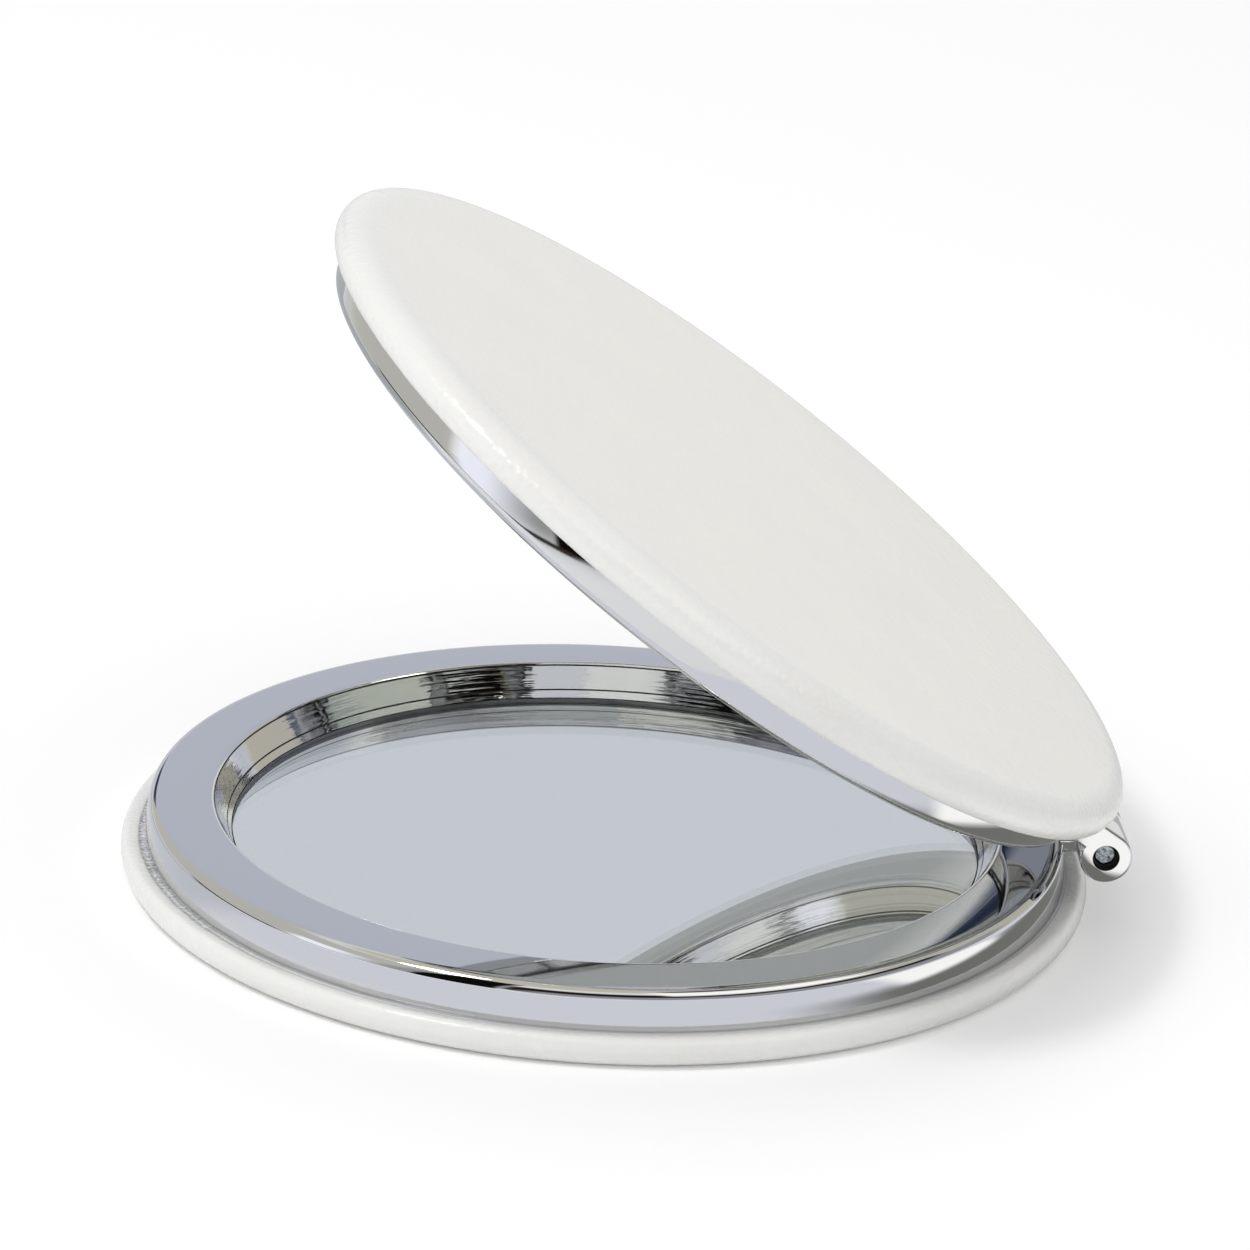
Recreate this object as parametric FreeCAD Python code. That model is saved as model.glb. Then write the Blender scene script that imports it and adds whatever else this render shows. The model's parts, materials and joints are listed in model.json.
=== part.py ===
"""Round compact mirror: two padded discs with chrome rings and mirrors, joined by a pinned hinge.

The base lies on its cover with the origin under its centre, +Z is up and the hinge is at +X.
Each half is built in the base's place. The lid is then mirrored over the parting plane and
swung open about the hinge pin to the angle at which it stands.
"""
import FreeCAD, Part
import math
import os

from FreeCAD import Vector

# Pads
PAD_RADIUS = 35.0
PAD_THICKNESS = 2.1
PAD_FACE_ROUND = 1.3
PAD_BACK_ROUND = 0.7
BASE_SWELL = 0.1
LID_SWELL = 0.6
SKIN_THICKNESS = 0.5
SKIN_MARGIN = 5.2
FOAM_THICKNESS = 0.55
COVER_TAPE_THICKNESS = 0.1
COVER_TAPE_MARGIN = 0.5

# Frames
PAD_OVERHANG = 1.7
RING_WIDTH = 4.8
RING_OUTER_ROUND = 0.9
RING_LIP_ROUND = 0.4
SHELL_WALL = 1.1
FLOOR_THICKNESS = 0.6
BEVEL_RUN = 1.15
BEVEL_DROP = 1.9
CUP_CLEARANCE = 0.2
RIB_COUNT = 16
RIB_THICKNESS = 0.8
RIB_HEIGHT = 1.0

# Mirrors
GLASS_THICKNESS = 1.0
GLASS_SETBACK = 0.5
GLASS_CLEARANCE = 0.2
GLASS_CHAMFER = 0.15
MAGNIFIER_THICKNESS = 0.75
MAGNIFIER_RADIUS = 600.0
MIRROR_TAPE_THICKNESS = 0.15
MIRROR_TAPE_MARGIN = 1.5

# Magnets
MAGNET_RADIUS = 1.4
MAGNET_THICKNESS = 1.4
MAGNET_WALL = 0.8

# Hinge
PARTING_GAP = 0.2
HINGE_RISE = 0.6
HINGE_PAD_CLEARANCE = 0.2
BARREL_RADIUS = 1.9
BARREL_CLEARANCE = 0.3
BARREL_EDGE_ROUND = 0.2
HINGE_LENGTH = 19.0
MIDDLE_KNUCKLE_LENGTH = 8.0
KNUCKLE_GAP = 0.2
BRACKET_SETBACK = 0.2
PIN_RADIUS = 0.75
PIN_CLEARANCE = 0.05
PIN_CHAMFER = 0.15
PIN_RECESS = 0.7
COUNTERBORE_RADIUS = 0.98
OPEN_ANGLE = 34.3

# Heights that the layers add up to, from the table upwards
FOAM_TOP = SKIN_THICKNESS + FOAM_THICKNESS
FLOOR_BOTTOM = FOAM_TOP + COVER_TAPE_THICKNESS
FLOOR_TOP = FLOOR_BOTTOM + FLOOR_THICKNESS
GLASS_BOTTOM = FLOOR_TOP + MIRROR_TAPE_THICKNESS
GLASS_TOP = GLASS_BOTTOM + GLASS_THICKNESS
BEVEL_FOOT = GLASS_TOP + GLASS_SETBACK
RING_TOP = BEVEL_FOOT + BEVEL_DROP
CHANNEL_TOP = RING_TOP - SHELL_WALL
PARTING_HEIGHT = RING_TOP + PARTING_GAP / 2
HINGE_HEIGHT = PARTING_HEIGHT + HINGE_RISE
BRACKET_TOP = RING_TOP - BRACKET_SETBACK

# Radii that follow from the pads and the rings
WALL_RADIUS = PAD_RADIUS - PAD_OVERHANG
LIP_RADIUS = WALL_RADIUS - RING_WIDTH
CUP_BORE = LIP_RADIUS - BEVEL_RUN
CUP_RADIUS = CUP_BORE + BEVEL_RUN * (BEVEL_DROP - SHELL_WALL) / BEVEL_DROP + SHELL_WALL
CHANNEL_RADIUS = WALL_RADIUS - SHELL_WALL
GLASS_RADIUS = CUP_BORE - GLASS_CLEARANCE
RECESS_RADIUS = CUP_RADIUS + CUP_CLEARANCE
MARGIN_RADIUS = PAD_RADIUS - SKIN_MARGIN
MAGNET_PLACE = (CUP_RADIUS + CHANNEL_RADIUS) / 2
RELIEF_RADIUS = BARREL_RADIUS + BARREL_CLEARANCE
HINGE_PLACE = max(PAD_RADIUS + HINGE_PAD_CLEARANCE, WALL_RADIUS - SHELL_WALL / 2 + RELIEF_RADIUS)

# Directions, and the depth under which an edge lies in a plane
Z_AXIS = Vector(0, 0, 1)
Y_AXIS = Vector(0, 1, 0)
FLAT = 0.001


def line(start, end):
    """Return a straight edge between two (radius, height) points in the XZ plane."""
    return Part.LineSegment(Vector(start[0], 0, start[1]), Vector(end[0], 0, end[1])).toShape()


def bend(centre, radius, first, last):
    """Return an arc edge in the XZ plane, with its ends at two angles in degrees."""
    points = []
    for degrees in (first, (first + last) / 2, last):
        turn = math.radians(degrees)
        points.append(Vector(centre[0] + radius * math.cos(turn), 0, centre[1] + radius * math.sin(turn)))
    return Part.Arc(*points).toShape()


def end_of(edge, index):
    """Return the (radius, height) of an edge's first (0) or last (-1) vertex."""
    point = edge.Vertexes[index].Point
    return point.x, point.z


def outline(*pieces):
    """Join points and edges, given in order round a section, into one closed face."""
    edges = []
    first = None
    last = None
    for piece in pieces:
        is_edge = isinstance(piece, Part.Edge)
        start = end_of(piece, 0) if is_edge else piece
        if last is not None and math.dist(last, start) > Part.Precision.confusion():
            edges.append(line(last, start))
        if is_edge:
            edges.append(piece)
        first = first or start
        last = end_of(piece, -1) if is_edge else piece
    edges.append(line(last, first))
    return Part.Face(Part.Wire(edges))


def turned(*pieces):
    """Return the solid that a section makes when it is turned about the Z axis."""
    return outline(*pieces).revolve(Vector(0, 0, 0), Z_AXIS, 360)


def pin_along_y(radius, start, end, height):
    """Return a cylinder on the hinge line at a height, between two places along Y."""
    return Part.makeCylinder(radius, end - start, Vector(HINGE_PLACE, start, height), Y_AXIS)


def lip_bend():
    """Return the arc that rounds the ring's inner edge from its flat top into the bevel."""
    slope = math.degrees(math.atan2(BEVEL_RUN, BEVEL_DROP))
    reach = RING_LIP_ROUND * math.tan(math.radians(90 - slope) / 2)
    centre = (LIP_RADIUS + reach, RING_TOP - RING_LIP_ROUND)
    return bend(centre, RING_LIP_ROUND, 90, 180 - slope)


def frame_body():
    """Return the moulded shell: a cup for the mirror inside a hollow ring with rounded edges."""
    round_centre = (WALL_RADIUS - RING_OUTER_ROUND, RING_TOP - RING_OUTER_ROUND)
    return turned(
        (0, FLOOR_BOTTOM),
        (CUP_RADIUS, FLOOR_BOTTOM),
        (CUP_RADIUS, CHANNEL_TOP),
        (CHANNEL_RADIUS, CHANNEL_TOP),
        (CHANNEL_RADIUS, PAD_THICKNESS),
        (WALL_RADIUS, PAD_THICKNESS),
        bend(round_centre, RING_OUTER_ROUND, 0, 90),
        lip_bend(),
        (CUP_BORE, BEVEL_FOOT),
        (CUP_BORE, FLOOR_TOP),
        (0, FLOOR_TOP),
    )


def channel_sector(bottom, half_angle):
    """Return a block that fills the ring's hollow across -X, between two angles about Z."""
    block = outline(
        (CUP_RADIUS, bottom),
        (CHANNEL_RADIUS, bottom),
        (CHANNEL_RADIUS, CHANNEL_TOP),
        (CUP_RADIUS, CHANNEL_TOP),
    ).revolve(Vector(0, 0, 0), Z_AXIS, 2 * half_angle)
    block.rotate(Vector(0, 0, 0), Z_AXIS, 180 - half_angle)
    return block


def stiffened(shell):
    """Return the shell with the ribs and the magnet's boss that stand in the ring's hollow."""
    rib_angle = math.degrees(RIB_THICKNESS / 2 / MAGNET_PLACE)
    boss_angle = math.degrees((MAGNET_RADIUS + MAGNET_WALL) / MAGNET_PLACE)
    added = [channel_sector(CHANNEL_TOP - MAGNET_THICKNESS, boss_angle)]
    for number in range(1, RIB_COUNT):
        rib = channel_sector(CHANNEL_TOP - RIB_HEIGHT, rib_angle)
        rib.rotate(Vector(0, 0, 0), Z_AXIS, number * 360 / RIB_COUNT)
        added.append(rib)
    return shell.fuse(added).cut(magnet())


def magnet():
    """Return the magnet, pressed into its boss under the ring's top, opposite the hinge."""
    bottom = Vector(-MAGNET_PLACE, 0, CHANNEL_TOP - MAGNET_THICKNESS)
    return Part.makeCylinder(MAGNET_RADIUS, MAGNET_THICKNESS, bottom)


def knuckle(start, end, height):
    """Return one hinge knuckle with the bracket that joins it to the ring's wall.

    The section is a round barrel whose bracket leaves level with the barrel's underside. The
    edges of both its end faces are eased, and it stops inside the ring's wall.
    """
    rise = math.degrees(math.asin((BRACKET_TOP - height) / BARREL_RADIUS))
    barrel = bend((HINGE_PLACE, height), BARREL_RADIUS, -90, 180 - rise)
    root = math.sqrt(CHANNEL_RADIUS ** 2 - (HINGE_LENGTH / 2) ** 2)
    section = outline((root, height - BARREL_RADIUS), barrel, (root, BRACKET_TOP))
    section.translate(Vector(0, start, 0))
    block = section.extrude(Vector(0, end - start, 0))
    end_edges = [edge for edge in block.Edges if edge.BoundBox.YLength < FLAT]
    eased = [edge for edge in end_edges if edge.BoundBox.XMax > root + FLAT]
    block = block.makeFillet(BARREL_EDGE_ROUND, eased)
    return block.cut(Part.makeCylinder(WALL_RADIUS - SHELL_WALL / 2, RING_TOP))


def base_frame():
    """Return the base's shell with the hinge's middle knuckle, bored for a pressed pin.

    The wall is relieved where the lid's knuckles turn beside it.
    """
    half = MIDDLE_KNUCKLE_LENGTH / 2
    reach = HINGE_LENGTH / 2 + KNUCKLE_GAP
    shell = stiffened(frame_body()).cut([
        pin_along_y(RELIEF_RADIUS, -reach, -half, HINGE_HEIGHT),
        pin_along_y(RELIEF_RADIUS, half, reach, HINGE_HEIGHT),
    ])
    shell = shell.fuse(knuckle(-half, half, HINGE_HEIGHT))
    return shell.cut(pin_along_y(PIN_RADIUS, -half, half, HINGE_HEIGHT))


def lid_frame():
    """Return the lid's shell with the hinge's outer knuckles, bored and counterbored.

    The wall is relieved where the base's knuckle turns beside it.
    """
    height = 2 * PARTING_HEIGHT - HINGE_HEIGHT
    inner = MIDDLE_KNUCKLE_LENGTH / 2 + KNUCKLE_GAP
    outer = HINGE_LENGTH / 2
    seat = outer - PIN_RECESS
    knuckles = [knuckle(-outer, -inner, height), knuckle(inner, outer, height)]
    shell = stiffened(frame_body()).cut(pin_along_y(RELIEF_RADIUS, -inner, inner, height))
    return shell.fuse(knuckles).cut([
        pin_along_y(PIN_RADIUS + PIN_CLEARANCE, -outer, outer, height),
        pin_along_y(COUNTERBORE_RADIUS, -outer, -seat, height),
        pin_along_y(COUNTERBORE_RADIUS, seat, outer, height),
    ])


def flat_mirror():
    """Return the base's flat glass with its front edge chamfered."""
    return turned(
        (0, GLASS_BOTTOM),
        (GLASS_RADIUS, GLASS_BOTTOM),
        (GLASS_RADIUS, GLASS_TOP - GLASS_CHAMFER),
        (GLASS_RADIUS - GLASS_CHAMFER, GLASS_TOP),
        (0, GLASS_TOP),
    )


def dish(radius, bottom, out):
    """Return the arc of a shallow dish from the axis out to a radius, or back in to the axis."""
    turn = math.degrees(math.asin(radius / MAGNIFIER_RADIUS))
    ends = (270, 270 + turn) if out else (270 + turn, 270)
    return bend((0, bottom + MAGNIFIER_RADIUS), MAGNIFIER_RADIUS, *ends)


def magnifying_mirror():
    """Return the lid's glass, bent to a shallow dish that magnifies."""
    return turned(
        dish(GLASS_RADIUS, GLASS_BOTTOM, True),
        dish(GLASS_RADIUS, GLASS_BOTTOM + MAGNIFIER_THICKNESS, False),
    )


def flat_mirror_tape():
    """Return the thin adhesive disc between the base's floor and its glass."""
    radius = GLASS_RADIUS - MIRROR_TAPE_MARGIN
    return Part.makeCylinder(radius, MIRROR_TAPE_THICKNESS, Vector(0, 0, FLOOR_TOP))


def dished_mirror_tape():
    """Return the foam adhesive disc that fills the space under the lid's dished glass."""
    radius = GLASS_RADIUS - MIRROR_TAPE_MARGIN
    return turned((0, FLOOR_TOP), (radius, FLOOR_TOP), dish(radius, GLASS_BOTTOM, False))


def pad_edge(inset, swell):
    """Return the pad's round edge, from its face to its back, set in by an amount.

    The edge stands over the pad's back by the swell and rolls in again to the ring's wall.
    """
    face_centre = (PAD_RADIUS - PAD_FACE_ROUND, PAD_FACE_ROUND)
    back_centre = (PAD_RADIUS - PAD_BACK_ROUND, PAD_THICKNESS + swell - PAD_BACK_ROUND)
    back_round = PAD_BACK_ROUND - inset
    rise = max(0, back_round - swell) / back_round
    roll = bend(back_centre, back_round, 0, 180 - math.degrees(math.asin(rise)))
    return [
        bend(face_centre, PAD_FACE_ROUND - inset, -90, 0),
        roll,
        (end_of(roll, -1)[0], PAD_THICKNESS - inset),
    ]


def cover(swell):
    """Return the leatherette skin: a disc drawn round the pad's edge and turned in at the back."""
    inner_edge = pad_edge(SKIN_THICKNESS, swell)
    hull = turned((0, 0), *pad_edge(0, swell), (0, PAD_THICKNESS))
    inside = turned((0, SKIN_THICKNESS), *inner_edge, (0, PAD_THICKNESS - SKIN_THICKNESS))
    opening = Part.makeCylinder(MARGIN_RADIUS, PAD_THICKNESS, Vector(0, 0, SKIN_THICKNESS))
    return hull.cut(inside).cut(opening)


def foam(swell):
    """Return the foam dish that fills the skin and takes the frame's cup in its recess."""
    return turned(
        (0, SKIN_THICKNESS),
        *pad_edge(SKIN_THICKNESS, swell),
        (RECESS_RADIUS, PAD_THICKNESS - SKIN_THICKNESS),
        (RECESS_RADIUS, FOAM_TOP),
        (0, FOAM_TOP),
    )


def cover_tape():
    """Return the adhesive disc between the foam and the frame's floor."""
    radius = CUP_RADIUS - COVER_TAPE_MARGIN
    return Part.makeCylinder(radius, COVER_TAPE_THICKNESS, Vector(0, 0, FOAM_TOP))


def hinge_pin():
    """Return the straight pin, chamfered at its ends and short of the knuckles' outer faces."""
    half = HINGE_LENGTH / 2 - PIN_RECESS
    pin = pin_along_y(PIN_RADIUS, -half, half, HINGE_HEIGHT)
    rims = [edge for edge in pin.Edges if edge.BoundBox.YLength < FLAT]
    return pin.makeChamfer(PIN_CHAMFER, rims)


def as_lid(shape):
    """Return a piece made in the base's place, turned over onto the lid and swung open."""
    turned_over = shape.mirror(Vector(0, 0, PARTING_HEIGHT), Z_AXIS)
    turned_over.rotate(Vector(HINGE_PLACE, 0, HINGE_HEIGHT), Y_AXIS, OPEN_ANGLE)
    return turned_over


def pieces():
    """Return every piece of the compact by name, in its place."""
    return {
        "base_cover": cover(BASE_SWELL),
        "base_foam": foam(BASE_SWELL),
        "base_cover_tape": cover_tape(),
        "base_frame": base_frame(),
        "base_magnet": magnet(),
        "base_mirror_tape": flat_mirror_tape(),
        "base_mirror": flat_mirror(),
        "hinge_pin": hinge_pin(),
        "lid_cover": as_lid(cover(LID_SWELL)),
        "lid_foam": as_lid(foam(LID_SWELL)),
        "lid_cover_tape": as_lid(cover_tape()),
        "lid_frame": as_lid(lid_frame()),
        "lid_magnet": as_lid(magnet()),
        "lid_mirror_tape": as_lid(dished_mirror_tape()),
        "lid_mirror": as_lid(magnifying_mirror()),
    }


def main():
    """Build the pieces and write each to its own file."""
    os.makedirs("parts", exist_ok=True)
    for name, shape in pieces().items():
        shape.exportStep(os.path.join("parts", name + ".step"))
        print(name, shape.ShapeType, len(shape.Solids), shape.isValid(), round(shape.Volume, 3))


main()
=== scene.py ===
"""Looks of a round compact mirror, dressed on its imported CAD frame.

The frame gives each piece its place and size. This script models the padded covers, the plated
rings with their hinge knuckles, the silvered glasses and the cropped hinge pin, gives every piece
its finish, and sets up a plain white studio with the camera at the photograph's viewing angle.
"""

import json
import logging
import math
from dataclasses import dataclass
from enum import Enum
from functools import partial
from typing import Any, Callable, Optional, Sequence

import bpy
import bmesh
from bpy.types import ID, Material, NodeSocket, NodeTree, Object
from mathutils import Matrix, Vector, noise
from mathutils.geometry import tessellate_polygon


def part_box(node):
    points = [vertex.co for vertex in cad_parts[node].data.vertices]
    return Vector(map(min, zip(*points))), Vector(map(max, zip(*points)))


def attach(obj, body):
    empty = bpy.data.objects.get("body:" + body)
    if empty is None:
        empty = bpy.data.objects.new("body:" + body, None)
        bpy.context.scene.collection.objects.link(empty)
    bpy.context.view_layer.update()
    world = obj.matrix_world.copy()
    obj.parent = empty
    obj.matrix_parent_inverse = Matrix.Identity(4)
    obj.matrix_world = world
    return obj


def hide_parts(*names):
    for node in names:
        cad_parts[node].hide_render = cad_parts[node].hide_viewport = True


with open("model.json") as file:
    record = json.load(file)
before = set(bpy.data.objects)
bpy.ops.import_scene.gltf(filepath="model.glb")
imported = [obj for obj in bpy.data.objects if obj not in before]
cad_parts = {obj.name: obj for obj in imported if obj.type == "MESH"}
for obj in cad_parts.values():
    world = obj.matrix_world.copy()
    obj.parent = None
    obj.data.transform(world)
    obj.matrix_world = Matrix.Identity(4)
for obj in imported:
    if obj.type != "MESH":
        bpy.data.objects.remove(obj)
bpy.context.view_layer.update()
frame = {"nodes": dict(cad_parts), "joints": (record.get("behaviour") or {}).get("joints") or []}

LOG = logging.getLogger("compact_mirror")
MM = 0.001
DRAWN_PLACE = "drawn_place"
CARD_COVER = "card_cover"
WHITE = (1.0, 1.0, 1.0, 1.0)

Point = tuple[float, float]
Face = tuple[int, ...]
NodeAdder = Callable[..., NodeSocket]


class Half(Enum):
    """The two halves of the compact, by the name of the CAD body that carries each."""

    BASE = "base"
    LID = "lid"


# Shared tools


def linear(hex_colour: str) -> tuple[float, float, float, float]:
    """Turn an sRGB hex colour into linear RGBA.

    Args:
        hex_colour: The colour as #RRGGBB.

    Returns:
        Linear red, green and blue, and an alpha of 1.
    """
    shares = [int(hex_colour[place : place + 2], 16) / 255 for place in (1, 3, 5)]
    red, green, blue = [
        share / 12.92 if share <= 0.04045 else ((share + 0.055) / 1.055) ** 2.4 for share in shares
    ]
    return red, green, blue, 1.0


def add_node(
    tree: NodeTree,
    kind: str,
    inputs: Optional[dict[Any, Any]] = None,
    output: str = "",
    **settings: Any,
) -> Optional[NodeSocket]:
    """Add a node with its settings, values and links.

    Args:
        tree: The node tree that takes the node.
        kind: The node's type name, without the ShaderNode that they all start with.
        inputs: For each input socket, by name or number, a value or the output socket to link.
        output: The name of the output socket to return, where it isn't the first.
        settings: Properties of the node itself.

    Returns:
        An output socket of the new node, or none where it has no output.
    """
    node = tree.nodes.new("ShaderNode" + kind)
    for name, value in settings.items():
        setattr(node, name, value)
    for socket, value in (inputs or {}).items():
        if isinstance(value, NodeSocket):
            tree.links.new(value, node.inputs[socket])
        else:
            node.inputs[socket].default_value = value
    return node.outputs[output or 0] if node.outputs else None


def new_material(name: str) -> tuple[Material, NodeAdder]:
    """Make a material with no nodes in it.

    Args:
        name: The material's name.

    Returns:
        The material, and the call that adds a node to it.
    """
    material = bpy.data.materials.new(name)
    material.use_nodes = True
    material.node_tree.nodes.clear()
    return material, partial(add_node, material.node_tree)


def drawn_radius(add: NodeAdder) -> tuple[NodeSocket, ...]:
    """Add nodes that read where a point was drawn, in millimetres.

    Args:
        add: The call that adds a node to the material.

    Returns:
        The drawn place, the same at height 0, and its distance from the axis.
    """
    place = add("Attribute", output="Vector", attribute_name=DRAWN_PLACE)
    level = add("VectorMath", {0: place, 1: (1.0, 1.0, 0.0)}, operation="MULTIPLY")
    return place, level, add("VectorMath", {0: level}, "Value", operation="LENGTH")


def noise_span(contrast: float) -> Point:
    """Return the ends of the span of a noise that a raised contrast spreads over 0 to 1."""
    return 0.5 - 0.5 / contrast, 0.5 + 0.5 / contrast


def add_object(name: str, data: ID) -> Object:
    """Make an object of a mesh, a lamp or a camera, linked to the scene.

    Args:
        name: The object's name.
        data: The mesh, lamp or camera.

    Returns:
        The new object.
    """
    made = bpy.data.objects.new(name, data)
    bpy.context.scene.collection.objects.link(made)
    return made


def arc(centre: Point, run: float, rise: float, first: float, last: float, steps: int) -> list[Point]:
    """Return points along an elliptical arc of a section.

    Args:
        centre: Radius and height of the arc's centre.
        run: Half the ellipse's width.
        rise: Half the ellipse's height.
        first: Angle of the first point, in degrees.
        last: Angle of the last point, in degrees.
        steps: Number of spans between the points.

    Returns:
        The points as radius and height.
    """
    points = []
    for step in range(steps + 1):
        turn = math.radians(first + (last - first) * step / steps)
        points.append((centre[0] + run * math.cos(turn), centre[1] + rise * math.sin(turn)))
    return points


def guarded(
    points: Sequence[Point], kinds: Sequence[int], guard: float, long_span: float = 5.0
) -> tuple[list[Point], list[int]]:
    """Add a point close to each end of a section's long spans, so that flats shade flat.

    Args:
        points: The section's points.
        kinds: The material number of each span.
        guard: How far the added points lie from the ends.
        long_span: How many guards a long span is longer than.

    Returns:
        The section with the added points, and the material number of each span.
    """
    found = [points[0]]
    found_kinds: list[int] = []
    for start, end, kind in zip(points, points[1:], kinds):
        length = math.dist(start, end)
        if length > long_span * guard:
            share = guard / length
            for part in (share, 1 - share):
                radius, height = (low + (high - low) * part for low, high in zip(start, end))
                found.append((radius, height))
                found_kinds.append(kind)
        found.append(end)
        found_kinds.append(kind)
    return found, found_kinds


def strip_between(low: int, high: int, count: int) -> list[Face]:
    """Return the faces between two rings of points, given the first point of each ring."""
    return [
        (low + place, low + (place + 1) % count, high + (place + 1) % count, high + place)
        for place in range(count)
    ]


@dataclass
class Shape:
    """A closed shape: its points in millimetres, its faces and the material number of each face."""

    vertices: list[Vector]
    faces: list[Face]
    kinds: list[int]

    @classmethod
    def turned(
        cls,
        section: Sequence[Point],
        span_kinds: Sequence[int],
        segments: int,
        move: Optional[Callable[[Vector], Vector]] = None,
    ) -> "Shape":
        """Turn a section about the Z axis.

        Args:
            section: The section's points, of which the first and the last lie on the axis.
            span_kinds: The material number of each span of the section.
            segments: Number of faces round the axis.
            move: Changes the place of a point off the axis.

        Returns:
            The shape, ring by ring along the section.
        """
        vertices = [Vector((0.0, 0.0, section[0][1]))]
        for radius, height in section[1:-1]:
            for segment in range(segments):
                turn = 2 * math.pi * segment / segments
                place = Vector((radius * math.cos(turn), radius * math.sin(turn), height))
                vertices.append(move(place) if move else place)
        last = len(vertices)
        top = last - segments
        vertices.append(Vector((0.0, 0.0, section[-1][1])))
        rounds = [(segment, (segment + 1) % segments) for segment in range(segments)]
        faces: list[Face] = [(0, 1 + after, 1 + segment) for segment, after in rounds]
        for low in range(1, top, segments):
            faces += strip_between(low, low + segments, segments)
        faces += [(top + segment, top + after, last) for segment, after in rounds]
        return cls(vertices, faces, [kind for kind in span_kinds for _ in rounds])

    def join(self, other: "Shape") -> None:
        """Take in another shape.

        Args:
            other: The shape whose points and faces are added.
        """
        first = len(self.vertices)
        self.vertices += other.vertices
        self.faces += [tuple(first + corner for corner in face) for face in other.faces]
        self.kinds += other.kinds

    def make(
        self, name: str, matrix: Matrix, materials: Sequence[Material], sharp_degrees: float = 180.0
    ) -> Object:
        """Make a smooth mesh object of the shape.

        The mesh keeps the place where each point was drawn, for finishes that follow the shape.

        Args:
            name: The piece's name.
            matrix: The move from the drawing place to the piece's place, in metres.
            materials: The piece's materials.
            sharp_degrees: The angle between two faces over which their edge is a sharp one.

        Returns:
            The new object, linked to the scene.
        """
        mesh = bpy.data.meshes.new(name)
        mesh.from_pydata([matrix @ (vertex * MM) for vertex in self.vertices], [], self.faces)
        for material in materials:
            mesh.materials.append(material)
        mesh.polygons.foreach_set("material_index", self.kinds)
        shell = bmesh.new()
        shell.from_mesh(mesh)
        bmesh.ops.recalc_face_normals(shell, faces=shell.faces)
        shell.to_mesh(mesh)
        shell.free()
        drawn = mesh.attributes.new(DRAWN_PLACE, "FLOAT_VECTOR", "POINT")
        drawn.data.foreach_set("vector", [axis for vertex in self.vertices for axis in vertex])
        mesh.shade_smooth()
        mesh.set_sharp_from_angle(angle=math.radians(sharp_degrees))
        return add_object(name, mesh)


@dataclass
class Places:
    """Where the halves and the hinge are, read from the frame.

    A piece of either half is drawn lying on the table as the base does. The lid's pieces are then
    turned over the parting plane and swung open about the hinge.
    """

    hinge: Vector
    open_angle: float
    parting_height: float

    @classmethod
    def from_frame(cls) -> "Places":
        """Read the hinge and the lid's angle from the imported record, and the closed height.

        Returns:
            The places in this frame.
        """
        joint = next(joint for joint in frame["joints"] if joint["name"] == "lid_hinge")
        hinge = Vector(joint["pos_m"])
        angle = -math.radians(joint["range_deg"][0])
        closing = cls(hinge, angle, 0.0).swing().inverted()
        cover = frame["nodes"]["lid_cover"].data.vertices
        closed_height = max((closing @ vertex.co).z for vertex in cover)
        return cls(hinge, angle, closed_height / 2)

    def swing(self) -> Matrix:
        """Return the turn that opens the closed lid to its rest."""
        turn = Matrix.Rotation(self.open_angle, 4, "Y")
        return Matrix.Translation(self.hinge) @ turn @ Matrix.Translation(-self.hinge)

    def matrix(self, half: Half) -> Matrix:
        """Work out the move from the drawing place to a half's rest.

        Args:
            half: The half that is moved.

        Returns:
            The move, in metres.
        """
        if half is Half.BASE:
            return Matrix.Identity(4)
        lift = Matrix.Translation((0.0, 0.0, 2 * self.parting_height))
        turn_over = lift @ Matrix.Diagonal((1, 1, -1, 1))
        return self.swing() @ turn_over

    def axis_height(self, half: Half) -> float:
        """Return the hinge line's height, in millimetres, where a half is drawn."""
        height = self.hinge.z if half is Half.BASE else 2 * self.parting_height - self.hinge.z
        return height / MM


# Finishes


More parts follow.
